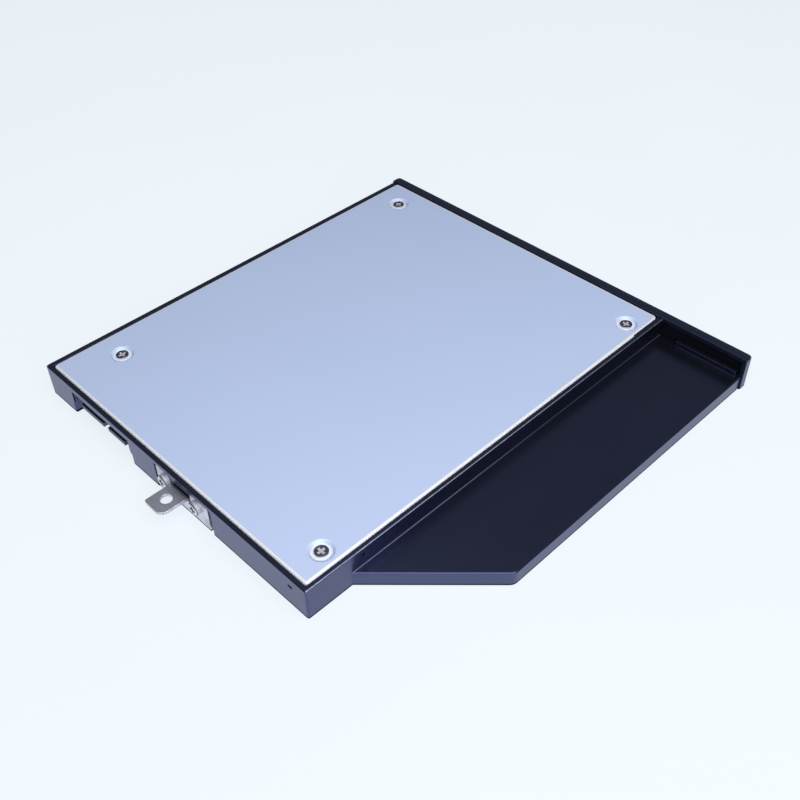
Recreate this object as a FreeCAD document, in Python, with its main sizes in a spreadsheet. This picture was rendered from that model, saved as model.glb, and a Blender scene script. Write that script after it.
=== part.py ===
"""Laptop drive caddy: a slim optical-bay tray that holds a 2.5 inch drive.

The part lies with its cover plate up. +Z is up, the front bezel is at -Y, the rear wall with the
host plug and the bracket is at +Y, and the low wing is at -X. The origin is the middle of the
underside. All sizes are in millimetres.
"""

import FreeCAD
import Part
import math
import os

import Sketcher
from FreeCAD import Placement, Rotation, Vector

doc = FreeCAD.newDocument("drive_caddy")


# Driving dimensions

SIZES = [
    # outline
    ("bay_width", 128.0, "outer width of frame and wing"),
    ("body_width", 103.0, "width of the full-height part"),
    ("frame_depth", 126.1, "front to rear, without the bezel"),
    ("rim_height", 9.5, "top of the rim above the underside"),
    ("wing_height", 4.3, "top of the wing"),
    ("cut_start", 12.6, "rear wall to the start of the corner cut"),
    ("cut_run", 24.5, "length of the corner cut along the depth"),
    ("wing_corner", 2.5, "radius of the wing's outer corner"),
    ("small_corner", 0.5, "radius of the rear upright corners"),
    ("edge_size", 0.3, "chamfer of the outer edges"),
    # walls and ribs
    ("side_wall", 1.8, "wall between body and wing"),
    ("far_wall", 2.6, "side wall away from the wing"),
    ("rear_wall", 2.2, "rear wall"),
    ("front_wall", 1.6, "front wall"),
    ("floor_thick", 1.2, "floor under the drive"),
    ("wing_wall", 1.3, "outer wall of the wing"),
    ("wing_skin", 1.2, "top skin of the wing"),
    ("rib_thick", 1.0, "ribs and webs"),
    ("rib_pitch", 18.0, "spacing of the ribs under the wing"),
    ("lip_height", 1.5, "lip on the wing behind the bezel"),
    ("lip_start", 5.7, "body wall to the end of that lip"),
    ("slot_place", 5.3, "wing-side wall to the small slot in the rear wall"),
    ("slot_long", 1.4, "small slot"),
    ("slot_tall", 0.8, "small slot"),
    ("slot_level", 6.6, "height of the small slot"),
    ("hole_place", 16.4, "rear wall to the small hole over the wing"),
    ("hole_level", 7.2, "height of that hole"),
    ("hole_wide", 1.1, "small hole"),
    # cover plate and its seat
    ("rim_far", 1.65, "rim width on the side away from the wing"),
    ("rim_near", 1.1, "rim width at the wing side and at the rear"),
    ("plate_gap", 0.2, "groove between rim and cover plate"),
    ("plate_thick", 0.8, "cover plate"),
    ("plate_seat", 0.7, "depth of the seat that the plate lies in"),
    ("plate_front", 0.3, "frame front to plate"),
    ("plate_corner", 1.0, "corner radius of the plate"),
    ("plate_edge", 0.25, "chamfer of the plate's upper edge"),
    ("step_depth", 0.35, "jog in the plate's wing-side edge"),
    ("step_length", 11.0, "length of the jog from the frame front"),
    ("dimple_width", 6.2, "mouth of a dimple"),
    ("dimple_floor", 4.6, "flat bottom of a dimple"),
    ("dimple_depth", 0.65, "depth of a dimple"),
    # cover screws
    ("screw_far", 10.6, "cover screws from the side away from the wing"),
    ("screw_near", 5.9, "cover screws from the wing-side wall"),
    ("screw_front", 8.4, "front cover screws from the frame front"),
    ("screw_rear", 9.6, "rear cover screw by the wing from the rear wall"),
    ("screw_plug", 16.4, "rear cover screw by the plug from the rear wall"),
    ("screw_size", 2.0, "thread of cover and bracket screws"),
    ("screw_play", 0.1, "play of a screw in its insert, on the diameter"),
    ("hole_play", 0.3, "play of a screw in sheet or board, on the diameter"),
    ("head_width", 3.3, "flat head of a cover screw"),
    ("head_thick", 0.5, "height of that head"),
    ("cover_screw_length", 4.2, "cover screw with its head"),
    ("boss_width", 5.4, "cover boss"),
    ("insert_width", 3.2, "hexagonal brass insert across its flats"),
    ("insert_length", 4.0, "brass insert"),
    ("insert_below", 0.4, "hole below an insert"),
    # drive bay
    ("drive_width", 69.85, "width of the drive"),
    ("drive_length", 100.45, "length of the drive"),
    ("drive_play", 0.25, "play of the drive on each side"),
    ("drive_margin", 16.0, "side away from the wing to the drive bay"),
    ("rail_thick", 1.2, "rails beside the drive"),
    ("rail_height", 7.2, "top of the rails"),
    ("rail_end", 2.6, "rear end of the rails to the socket's face"),
    ("web_height", 5.0, "top of the webs beside the rails"),
    ("web_start", 20.0, "frame front to the first web"),
    ("web_pitch", 24.0, "spacing of the webs"),
    ("window_margin", 7.0, "bay side to floor window"),
    ("window_length", 36.0, "floor window along the depth"),
    ("window_bar", 10.0, "bar between the floor windows"),
    ("window_corner", 4.0, "corner radius of the floor windows"),
    ("pad_thick", 0.5, "foam pads"),
    ("pad_width", 5.0, "foam pads"),
    ("pad_side", 1.0, "bay side to pad"),
    ("pad_front", 6.0, "drive stop to the pads"),
    ("pad_rear", 14.0, "rear end of the drive to the end of the pads"),
    ("stop_depth", 4.2, "drive stop along the depth"),
    ("stop_height", 5.6, "drive stop above the floor"),
    ("stop_lug", 1.0, "lugs of the stop in the rails"),
    ("lug_depth", 2.1, "those lugs along the depth"),
    ("stop_play", 0.1, "clearance of the stop"),
    ("stop_pocket", 24.0, "hollows in the stop"),
    ("stop_wall", 1.1, "walls and floor of those hollows"),
    ("stop_notch", 0.5, "room round the bezel's hook in the stop"),
    # adapter board
    ("board_top", 8.2, "upper face of the adapter board"),
    ("board_thick", 0.8, "adapter board"),
    ("board_play", 0.3, "board to the walls"),
    ("board_margin", 1.4, "board beyond what it clears or carries"),
    ("board_side", 2.4, "board beyond the drive socket's end"),
    ("board_setback", 0.8, "board edge behind the socket's face"),
    ("board_post", 4.0, "post under the board"),
    ("post_side", 3.2, "post from the side wall or the board's end"),
    ("post_rear", 10.6, "posts from the rear wall"),
    ("post_gap", 2.8, "socket's end to the middle post"),
    ("board_screw", 1.5, "thread of the board screws"),
    ("board_head", 2.8, "head of a board screw"),
    ("board_head_thick", 0.5, "height of that head"),
    ("board_screw_length", 4.4, "board screw below its head"),
    # host plug
    ("plug_margin", 12.0, "side away from the wing to the plug"),
    ("plug_width", 24.9, "host plug"),
    ("plug_depth", 7.2, "host plug, rear face to its back"),
    ("plug_bottom", 3.6, "underside of the host plug"),
    ("plug_tongue", 1.2, "thickness of the plug's tongues"),
    ("plug_reach", 5.0, "length of the plug's tongues"),
    ("tongue_inset", 0.2, "tongue tips behind the plug's rear face"),
    ("plug_end", 2.7, "plug's end to its first tongue"),
    ("plug_wall", 0.5, "thin walls round the plug's mouth"),
    ("plug_key", 2.1, "gap between the two tongues"),
    ("power_tongue", 7.4, "width of the tongue with the power contacts"),
    ("key_step", 0.3, "roof over the gaps beside the tongues above the roof over them"),
    ("plug_inset", 0.3, "plug mouth behind the rear wall's face"),
    ("notch_margin", 0.9, "notch under the plug wider on each side"),
    ("notch_depth", 6.6, "notch under the plug along the depth"),
    ("slot_play", 0.3, "clearance round the plug in the wall"),
    # contacts and solder clips
    ("pin_pitch", 1.27, "spacing of the contacts"),
    ("pin_width", 0.6, "contact blade"),
    ("pin_thick", 0.2, "contact blade"),
    ("pin_play", 0.05, "play of a blade in its channel"),
    ("pin_bend", 0.9, "housing to the bent-up tails of the contacts"),
    ("pin_inset", 0.8, "contact tips behind the mating face"),
    ("pin_margin", 1.6, "end of the socket's slot to its first contact"),
    ("key_pitch", 4.1, "last power contact to first signal contact"),
    ("key_wall", 1.2, "key between the socket's two slots"),
    ("key_place", 1.4, "middle of that key to the first signal contact"),
    ("clip_thick", 0.3, "solder clip"),
    ("clip_width", 2.0, "solder clip"),
    ("clip_foot", 1.3, "foot of a solder clip"),
    ("clip_tall", 2.6, "upright of a solder clip"),
    ("clip_back", 0.5, "solder clip from its housing's back"),
    # drive socket
    ("socket_width", 37.6, "drive socket"),
    ("socket_depth", 7.8, "drive socket along the depth"),
    ("socket_height", 4.4, "drive socket"),
    ("socket_front", 20.6, "rear wall to the mating face of the socket"),
    ("socket_slot", 33.4, "width of the slot for the drive's tongue"),
    ("slot_height", 1.5, "height of that slot"),
    ("slot_sill", 1.3, "wall under that slot"),
    ("slot_depth", 6.0, "depth of that slot"),
    ("guide_wide", 1.0, "upright ends of the slot"),
    ("guide_tall", 0.9, "upright ends of the slot above it"),
    ("socket_offset", 9.0, "middle of the socket from the middle of the drive"),
    # small parts under the board
    ("bulk_long", 3.5, "bulk capacitor"),
    ("bulk_wide", 2.4, "bulk capacitor"),
    ("bulk_tall", 1.9, "bulk capacitor"),
    ("chip_long", 1.6, "small capacitor"),
    ("chip_wide", 0.8, "small capacitor"),
    ("resistor_long", 1.0, "small resistor"),
    ("resistor_wide", 0.5, "small resistor"),
    ("resistor_tall", 0.4, "small resistor"),
    ("row_start", 8.9, "board's end to the first bulk capacitor"),
    ("row_gap", 1.3, "gap between neighbours in the row"),
    # bracket
    ("block_depth", 6.8, "thick part of the rear wall behind the bracket"),
    ("block_side", 1.4, "that thick part beyond the recess"),
    ("bracket_thick", 0.8, "steel sheet"),
    ("bracket_middle", 58.0, "side away from the wing to the middle of the bracket screws"),
    ("bracket_far", 9.5, "that middle to the bracket's edge on the plug side"),
    ("bracket_near", 10.7, "that middle to the bracket's edge on the wing side"),
    ("bracket_bottom", 0.3, "lower edge of the bracket"),
    ("bracket_top", 7.8, "upper edge of the bracket's legs"),
    ("bracket_corner", 0.6, "corner radius of the legs"),
    ("recess_depth", 1.0, "recess for the bracket"),
    ("recess_far", 0.3, "recess beyond the bracket on the plug side"),
    ("recess_near", 1.5, "recess beyond the bracket on the wing side"),
    ("recess_top", 8.1, "upper edge of the recess"),
    ("bracket_pitch", 12.2, "spacing of the bracket screws"),
    ("bracket_level", 4.9, "height of the bracket screws"),
    ("tab_width", 6.6, "tab of the bracket"),
    ("tab_side", 4.0, "middle of the bracket to the tab's edge on the plug side"),
    ("tab_reach", 7.2, "tab beyond the rear wall's face"),
    ("tab_top", 5.2, "upper face of the tab"),
    ("tab_relief", 0.1, "tab to the leg beside it"),
    ("tab_hole", 3.0, "hole in the tab"),
    ("tab_hole_reach", 3.3, "hole centre beyond the rear wall's face"),
    ("tab_round", 2.2, "large corner of the tab"),
    ("bend_radius", 0.4, "inner radius of the bend"),
    ("pocket_floor", 4.9, "floor of the pocket behind the tab"),
    ("pocket_top", 7.3, "roof of that pocket and of the recess over the tab"),
    ("pocket_depth", 5.6, "that pocket from the rear wall's face"),
    ("pocket_near", 3.9, "middle of the bracket to the pocket's edge on the wing side"),
    ("bracket_head", 3.5, "head of a bracket screw"),
    ("bracket_head_thick", 1.2, "height of that head"),
    ("bracket_screw_length", 3.6, "bracket screw below its head"),
    # bezel
    ("bezel_depth", 2.9, "bezel front to back"),
    ("bezel_height", 9.8, "bezel"),
    ("bezel_side", 0.5, "bezel beyond the frame on each side"),
    ("bezel_corner", 1.2, "outer upright corners of the bezel"),
    ("bezel_skin", 1.2, "walls of the bezel"),
    ("hook_width", 6.0, "snap hooks of the bezel"),
    ("hook_thick", 1.2, "snap hooks of the bezel"),
    ("hook_barb", 0.5, "barb above a hook"),
    ("hook_nose", 1.3, "barb along the depth"),
    ("hook_play", 0.1, "clearance of a hook"),
    ("hook_level", 3.2, "underside of the hooks in the body"),
    ("hook_low", 0.6, "underside of the hook under the wing"),
    ("hook_far", 9.5, "side away from the wing to the first hook"),
    ("hook_wing", 7.0, "wing-side wall to the hook under the wing"),
]


def link(left, right, sign):
    """Join two sizes, or a size and a number, by a sign of arithmetic."""
    values = [side.value if isinstance(side, Size) else side for side in (left, right)]
    texts = [side.text if isinstance(side, Size) else repr(side) for side in (left, right)]
    results = {
        "+": lambda a, b: a + b,
        "-": lambda a, b: a - b,
        "*": lambda a, b: a * b,
        "/": lambda a, b: a / b,
    }
    return Size(results[sign](*values), "(" + texts[0] + " " + sign + " " + texts[1] + ")")


class Size:
    """A length: its number, and the expression that ties it to the sheet."""

    def __init__(self, value, text):
        self.value = value
        self.text = text

    def __add__(self, other):
        return link(self, other, "+")

    def __radd__(self, other):
        return link(other, self, "+")

    def __sub__(self, other):
        return link(self, other, "-")

    def __rsub__(self, other):
        return link(other, self, "-")

    def __mul__(self, other):
        return link(self, other, "*")

    def __rmul__(self, other):
        return link(other, self, "*")

    def __truediv__(self, other):
        return link(self, other, "/")

    def __neg__(self):
        return link(0, self, "-")


def hypot(a, b):
    """The long side over two sizes at a right angle."""
    return Size(math.hypot(a.value, b.value), "hypot(" + a.text + "; " + b.text + ")")


class Sizes:
    """The sheet's cells, each by its name."""


sheet = doc.addObject("Spreadsheet::Sheet", "Sizes")
s = Sizes()
for row, (alias, number, meaning) in enumerate(SIZES, start=1):
    sheet.set("A" + str(row), alias)
    sheet.set("B" + str(row), str(number))
    sheet.setAlias("B" + str(row), alias)
    sheet.set("C" + str(row), meaning)
    setattr(s, alias, Size(number, "Sizes." + alias))
doc.recompute()
zero = Size(0.0, "0")

# How far a pad reaches into the solid that it joins, and how far a cut runs past its face
BITE = 0.2
PAST = 0.5

# A cross recess as shares of its screw's head
CROSS_SPAN = 0.62
CROSS_WIDTH = 0.2
CROSS_DEPTH = 0.55

# How many there are of the things that come in rows
WING_RIBS = 4
RAIL_WEBS = 4
PLUG_POWER, PLUG_SIGNAL = 6, 7
SOCKET_POWER, SOCKET_SIGNAL = 15, 7
BULK_CAPACITORS, SMALL_CAPACITORS, SMALL_RESISTORS = 2, 4, 4


# Reference lines of the frame

side_x = s.bay_width / 2
wall_x = side_x - s.body_width
wing_x = -side_x
rear_y = (s.frame_depth + s.bezel_depth - s.tab_reach) / 2
front_y = rear_y - s.frame_depth
ledge_z = s.rim_height - s.plate_seat
plate_top = ledge_z + s.plate_thick
boss_top = ledge_z - s.dimple_depth
dimple_level = plate_top - s.dimple_depth
head_top = dimple_level + s.head_thick

inner_right = side_x - s.far_wall
inner_left = wall_x + s.side_wall
inner_rear = rear_y - s.rear_wall
inner_front = front_y + s.front_wall

bay_right = side_x - s.drive_margin
bay_left = bay_right - s.drive_width - 2 * s.drive_play
bay_middle = (bay_right + bay_left) / 2
board_bottom = s.board_top - s.board_thick
stop_rear = inner_front + s.stop_play + s.stop_depth
drive_rear = stop_rear + s.stop_play + s.drive_length

plate_right = side_x - s.rim_far - s.plate_gap
plate_left = wall_x + s.rim_near + s.plate_gap
plate_rear = rear_y - s.rim_near - s.plate_gap
plate_fore = front_y + s.plate_front

cover_screws_at = [
    (side_x - s.screw_far, front_y + s.screw_front),
    (wall_x + s.screw_near, front_y + s.screw_front),
    (wall_x + s.screw_near, rear_y - s.screw_rear),
    (side_x - s.screw_far, rear_y - s.screw_plug),
]

plug_right = side_x - s.plug_margin
plug_left = plug_right - s.plug_width
plug_mouth = rear_y - s.plug_inset
plug_back = plug_mouth - s.plug_depth
plug_low = s.plug_bottom + s.plug_tongue

socket_middle = bay_middle + s.socket_offset
socket_left = socket_middle - s.socket_width / 2
socket_right = socket_middle + s.socket_width / 2
socket_face = rear_y - s.socket_front
socket_back = socket_face + s.socket_depth
socket_low = board_bottom - s.socket_height + s.slot_sill

bracket_x = side_x - s.bracket_middle
bracket_right = bracket_x + s.bracket_far
bracket_left = bracket_x - s.bracket_near
tab_right = bracket_x + s.tab_side
tab_left = tab_right - s.tab_width
pocket_left = bracket_x - s.pocket_near
recess_floor = rear_y - s.recess_depth
sheet_outer = recess_floor + s.bracket_thick
bracket_screws_at = [
    (bracket_x + s.bracket_pitch / 2, s.bracket_level),
    (bracket_x - s.bracket_pitch / 2, s.bracket_level),
]

board_right = inner_right - s.board_play
board_back = inner_rear - s.board_play
board_front = socket_face + s.board_setback
board_left = socket_left - s.board_side
board_waist = plug_left - s.board_margin
board_neck = rear_y - s.block_depth - s.board_margin
board_nose = rear_y - s.screw_plug + s.boss_width / 2 + s.board_margin
board_corner = bay_right + s.board_margin
board_lane = (socket_back + plug_back) / 2
board_posts_at = [
    (inner_right - s.post_side, rear_y - s.post_rear),
    (socket_right + s.post_gap, rear_y - s.post_rear),
    (board_left + s.post_side, rear_y - s.post_rear),
]

hooks_at = [
    (side_x - s.hook_far, s.hook_level, inner_front),
    (bay_middle, s.hook_level, inner_front),
    (wall_x - s.hook_wing, s.hook_low, front_y + s.wing_wall),
]


# Tools for sketches and features

PLANES = {"XY": 1, "XZ": -1, "YZ": 1}


def new_body(name, many=False):
    body = doc.addObject("PartDesign::Body", name)
    body.Label = name
    body.AllowCompound = many
    return body


def as_size(value):
    return value if isinstance(value, Size) else Size(float(value), repr(float(value)))


def new_sketch(body, name, plane, level, across=zero):
    """A sketch on one of the body's origin planes, moved to a level along that plane's axis.

    Its own origin can also be moved across, along the sketch's horizontal direction.
    """
    support = [f for f in body.Origin.OriginFeatures if f.Role == plane + "_Plane"][0]
    sketch = body.newObject("Sketcher::SketchObject", name)
    sketch.AttachmentSupport = (support, [""])
    sketch.MapMode = "FlatFace"
    offset = as_size(level) * PLANES[plane]
    sketch.AttachmentOffset = Placement(Vector(across.value, 0, offset.value), Rotation())
    sketch.setExpression("AttachmentOffset.Base.x", across.text)
    sketch.setExpression("AttachmentOffset.Base.z", offset.text)
    return sketch


def tie(sketch, kind, refs, size):
    """A dimension in a sketch, tied to the sheet."""
    size = as_size(size)
    index = sketch.addConstraint(Sketcher.Constraint(kind, *refs, size.value))
    sketch.setExpression("Constraints[" + str(index) + "]", size.text)


def polygon(sketch, corners):
    """A closed outline of straight lines, each corner placed from the origin."""
    corners = [(as_size(x), as_size(y)) for x, y in corners]
    first = sketch.GeometryCount
    count = len(corners)
    for i in range(count):
        a, b = corners[i], corners[(i + 1) % count]
        start = Vector(a[0].value, a[1].value, 0)
        end = Vector(b[0].value, b[1].value, 0)
        sketch.addGeometry(Part.LineSegment(start, end), False)
    for i in range(count):
        after = first + (i + 1) % count
        sketch.addConstraint(Sketcher.Constraint("Coincident", first + i, 2, after, 1))
    for i, (x, y) in enumerate(corners):
        tie(sketch, "DistanceX", (-1, 1, first + i, 1), x)
        tie(sketch, "DistanceY", (-1, 1, first + i, 1), y)


def box(sketch, left, right, low, high):
    polygon(sketch, [(left, low), (right, low), (right, high), (left, high)])


def circle(sketch, middle, width):
    x, y, width = as_size(middle[0]), as_size(middle[1]), as_size(width)
    index = sketch.addGeometry(
        Part.Circle(Vector(x.value, y.value, 0), Vector(0, 0, 1), width.value / 2), False
    )
    tie(sketch, "DistanceX", (-1, 1, index, 3), x)
    tie(sketch, "DistanceY", (-1, 1, index, 3), y)
    tie(sketch, "Diameter", (index,), width)


def hexagon(sketch, middle, across):
    """A hexagon given across its flats, with a corner right above its middle."""
    x, y = middle
    side, corner = across / 2, across * 3 ** -0.5
    polygon(sketch, [
        (x, y + corner), (x - side, y + corner / 2), (x - side, y - corner / 2),
        (x, y - corner), (x + side, y - corner / 2), (x + side, y + corner / 2),
    ])


def cross(sketch, middle, head):
    """The cross recess of a screw, drawn on its head."""
    x, y = middle
    a, b = head * CROSS_SPAN / 2, head * CROSS_WIDTH / 2
    polygon(sketch, [
        (x - a, y - b), (x - b, y - b), (x - b, y - a), (x + b, y - a),
        (x + b, y - b), (x + a, y - b), (x + a, y + b), (x + b, y + b),
        (x + b, y + a), (x - b, y + a), (x - b, y + b), (x - a, y + b),
    ])


def checked(body, name, before, grows):
    """Stop where a feature left the body's volume alone or changed it the wrong way."""
    doc.recompute()
    change = body.Shape.Volume - before
    if abs(change) < 1e-6 or (change > 0) != grows:
        raise RuntimeError(name + " changes nothing")


def volume(body):
    return body.Shape.Volume if body.Shape and not body.Shape.isNull() else 0.0


def extrude(body, kind, name, sketch, length, towards):
    """A pad or a pocket that runs towards + or - along the sketch plane's axis."""
    plane = sketch.AttachmentSupport[0][0].Role[:2]
    normal = PLANES[plane] if kind == "Pad" else -PLANES[plane]
    before = volume(body)
    feature = body.newObject("PartDesign::" + kind, name)
    feature.Profile = sketch
    length = as_size(length)
    feature.Length = length.value
    feature.setExpression("Length", length.text)
    feature.Reversed = (towards == "-") == (normal == 1)
    checked(body, name, before, kind == "Pad")
    return feature


def pad(body, name, sketch, length, towards="+"):
    return extrude(body, "Pad", name, sketch, length, towards)


def pocket(body, name, sketch, length, towards="-"):
    return extrude(body, "Pocket", name, sketch, length, towards)


def turn(body, kind, name, axis, middle, outline):
    """A turned form: an outline of (radius, height) revolved about an upright or a Y axis."""
    if axis == "Z":
        sketch = new_sketch(body, name + "_outline", "XZ", middle[1], middle[0])
    else:
        sketch = new_sketch(body, name + "_outline", "XY", middle[1], middle[0])
    polygon(sketch, outline)
    before = volume(body)
    feature = body.newObject("PartDesign::" + kind, name)
    feature.Profile = sketch
    feature.ReferenceAxis = (sketch, ["V_Axis"])
    feature.Angle = 360
    checked(body, name, before, kind == "Revolution")
    return feature


def along(edge, axis):
    """Whether a straight edge runs along X, Y or Z."""
    if edge.Curve.TypeId != "Part::GeomLine":
        return False
    run = edge.Vertexes[-1].Point - edge.Vertexes[0].Point
    return abs(abs(run[axis]) - run.Length) < 1e-6 and run.Length > 1e-6


def near(value, size):
    return abs(value - as_size(size).value) < 1e-4


def dress(body, kind, name, size, wanted):
    """Round or chamfer the edges of the body that the given test picks."""
    base = body.Tip
    names = [
        "Edge" + str(i)
        for i, edge in enumerate(base.Shape.Edges, start=1)
        if wanted(edge, edge.CenterOfMass)
    ]
    if not names:
        raise RuntimeError(name + " finds no edge")
    feature = body.newObject("PartDesign::" + kind, name)
    feature.Base = (base, names)
    field = "Radius" if kind == "Fillet" else "Size"
    setattr(feature, field, size.value)
    feature.setExpression(field, size.text)
    doc.recompute()
    return feature


def repeat(body, name, feature, axis, pitch, count):
    """Repeat a feature along X or Y."""
    pitch = as_size(pitch)
    pattern = body.newObject("PartDesign::LinearPattern", name)
    pattern.Originals = [feature]
    role = {"X": "X_Axis", "Y": "Y_Axis"}[axis]
    pattern.Direction = ([f for f in body.Origin.OriginFeatures if f.Role == role][0], [""])
    pattern.Length = pitch.value * (count - 1)
    pattern.setExpression("Length", (pitch * (count - 1)).text)
    pattern.Occurrences = count
    body.Tip = pattern
    doc.recompute()
    return pattern


# Frame: one black moulding

def make_frame():
    body = new_body("frame")

    sketch = new_sketch(body, "wing_outline", "XY", zero)
    polygon(sketch, [
        (side_x, front_y), (side_x, rear_y), (wall_x, rear_y),
        (wall_x, rear_y - s.cut_start), (wing_x, rear_y - s.cut_start - s.cut_run),
        (wing_x, front_y),
    ])
    pad(body, "wing_slab", sketch, s.wing_height)
    sketch = new_sketch(body, "body_outline", "XY", zero)
    box(sketch, wall_x, side_x, front_y, rear_y)
    pad(body, "body_block", sketch, s.rim_height)

    dress(body, "Fillet", "wing_corner", s.wing_corner, lambda e, c: along(e, 2)
          and near(c.x, wing_x) and not near(c.y, front_y))
    dress(body, "Fillet", "rear_corners", s.small_corner, lambda e, c: along(e, 2)
          and near(c.y, rear_y))
    dress(body, "Chamfer", "upper_edges", s.edge_size, lambda e, c: not near(c.y, front_y)
          and (near(c.z, s.rim_height)
               or (near(c.z, s.wing_height) and c.x < wall_x.value - s.edge_size.value)))
    dress(body, "Chamfer", "lower_edges", s.edge_size, lambda e, c: near(c.z, zero)
          and not near(c.y, front_y))

    sketch = new_sketch(body, "inside_outline", "XY", s.rim_height)
    box(sketch, inner_left, inner_right, inner_front, inner_rear)
    pocket(body, "inside", sketch, s.rim_height - s.floor_thick)
    sketch = new_sketch(body, "seat_outline", "XY", s.rim_height)
    step_y = front_y + s.step_length
    seat_left, step_x = wall_x + s.rim_near, wall_x + s.rim_near + s.step_depth
    polygon(sketch, [
        (side_x - s.rim_far, front_y - PAST), (side_x - s.rim_far, rear_y - s.rim_near),
        (seat_left, rear_y - s.rim_near), (seat_left, step_y), (step_x, step_y),
        (step_x, front_y - PAST),
    ])
    pocket(body, "plate_seat", sketch, s.plate_seat)

    add_wing_ribs(body)
    add_inside(body)
    add_bracket_seat(body)
    add_plug_notch(body)
    add_front_slots(body)

    sketch = new_sketch(body, "rear_slot_outline", "XZ", rear_y)
    slot_x = wall_x + s.slot_place
    box(sketch, slot_x - s.slot_long / 2, slot_x + s.slot_long / 2,
        s.slot_level - s.slot_tall / 2, s.slot_level + s.slot_tall / 2)
    pocket(body, "rear_slot", sketch, s.rear_wall + PAST, "-")
    sketch = new_sketch(body, "side_hole_outline", "YZ", wall_x)
    circle(sketch, (rear_y - s.hole_place, s.hole_level), s.hole_wide)
    pocket(body, "side_hole", sketch, s.side_wall + PAST, "+")
    return body


def add_wing_ribs(body):
    """The wing is a thin skin with an outer wall and ribs, open below."""
    wing_width = wall_x - wing_x
    shift = s.wing_wall * hypot(wing_width, s.cut_run) / wing_width
    cut_rear = rear_y - s.cut_start - shift
    cut_front = cut_rear - s.cut_run * (wing_width - s.wing_wall) / wing_width
    depth = s.wing_height - s.wing_skin
    sketch = new_sketch(body, "wing_hollow_outline", "XY", zero)
    polygon(sketch, [
        (wall_x, front_y + s.wing_wall), (wall_x, cut_rear),
        (wing_x + s.wing_wall, cut_front), (wing_x + s.wing_wall, front_y + s.wing_wall),
    ])
    pocket(body, "wing_hollow", sketch, depth, "+")

    first = front_y + s.rib_pitch
    sketch = new_sketch(body, "wing_rib_outline", "XY", zero)
    box(sketch, wing_x + s.wing_wall - BITE, wall_x + BITE, first, first + s.rib_thick)
    rib = pad(body, "wing_rib", sketch, depth)
    repeat(body, "wing_ribs", rib, "Y", s.rib_pitch, WING_RIBS)
    sketch = new_sketch(body, "wing_spine_outline", "XY", zero)
    spine = (wing_x + wall_x) / 2
    box(sketch, spine, spine + s.rib_thick, front_y + s.wing_wall - BITE,
        rear_y - s.cut_start - s.cut_run / 2 - shift / 2)
    pad(body, "wing_spine", sketch, depth)

    sketch = new_sketch(body, "lip_outline", "XY", s.wing_height - s.wing_skin / 2)
    box(sketch, wing_x + s.wing_wall, wall_x - s.lip_start, front_y, front_y + s.wing_wall)
    pad(body, "wing_lip", sketch, s.lip_height + s.wing_skin / 2)


def add_inside(body):
    """Bosses, rails, webs, board posts and floor windows."""
    sketch = new_sketch(body, "boss_outlines", "XY", zero)
    for middle in cover_screws_at:
        circle(sketch, middle, s.boss_width)
    pad(body, "cover_bosses", sketch, boss_top)

    sketch = new_sketch(body, "boss_web_outlines", "XY", zero)
    for x, y in cover_screws_at:
        ends = (x, inner_right + BITE) if x.value > 0 else (inner_left - BITE, x)
        box(sketch, ends[0], ends[1], y - s.rib_thick / 2, y + s.rib_thick / 2)
    pad(body, "boss_webs", sketch, s.rail_height)

    rails_rear = socket_face - s.rail_end
    sketch = new_sketch(body, "rail_outlines", "XY", zero)
    box(sketch, bay_right, bay_right + s.rail_thick, inner_front - BITE, rails_rear)
    box(sketch, bay_left - s.rail_thick, bay_left, inner_front - BITE, rails_rear)
    pad(body, "rails", sketch, s.rail_height)

    first_web = front_y + s.web_start
    sketch = new_sketch(body, "web_outlines", "XY", zero)
    box(sketch, bay_right + BITE, inner_right + BITE, first_web, first_web + s.rib_thick)
    box(sketch, inner_left - BITE, bay_left - BITE, first_web, first_web + s.rib_thick)
    web = pad(body, "web_pair", sketch, s.web_height)
    repeat(body, "webs", web, "Y", s.web_pitch, RAIL_WEBS)

    sketch = new_sketch(body, "post_outlines", "XY", zero)
    for middle in board_posts_at:
        circle(sketch, middle, s.board_post)
    pad(body, "board_posts", sketch, board_bottom)

    sketch = new_sketch(body, "insert_holes_outline", "XY", boss_top)
    for middle in cover_screws_at:
        hexagon(sketch, middle, s.insert_width)
    pocket(body, "insert_holes", sketch, s.insert_length + s.insert_below)
    sketch = new_sketch(body, "post_holes_outline", "XY", board_bottom)
    for middle in board_posts_at:
        circle(sketch, middle, s.board_screw + s.screw_play)
    pocket(body, "post_holes", sketch, s.board_screw_length - s.board_thick + s.insert_below)

    middle_y = (stop_rear + rails_rear) / 2
    left, right = bay_left + s.window_margin, bay_right - s.window_margin
    near_bar, far_bar = middle_y - s.window_bar / 2, middle_y + s.window_bar / 2
    sketch = new_sketch(body, "window_outlines", "XY", zero)
    box(sketch, left, right, near_bar - s.window_length, near_bar)
    box(sketch, left, right, far_bar, far_bar + s.window_length)
    pocket(body, "windows", sketch, s.floor_thick, "+")
    dress(body, "Fillet", "window_corners", s.window_corner, lambda e, c: along(e, 2)
          and c.z < s.floor_thick.value and (near(c.x, left) or near(c.x, right)))

    sketch = new_sketch(body, "lug_slot_outlines", "XY", s.rail_height)
    middle = inner_front + s.stop_play + s.stop_depth / 2
    low, high = middle - s.lug_depth / 2 - s.stop_play, middle + s.lug_depth / 2 + s.stop_play
    box(sketch, bay_left - s.rail_thick, bay_left, low, high)
    box(sketch, bay_right, bay_right + s.rail_thick, low, high)
    pocket(body, "lug_slots", sketch, s.rail_height - s.floor_thick)


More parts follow.
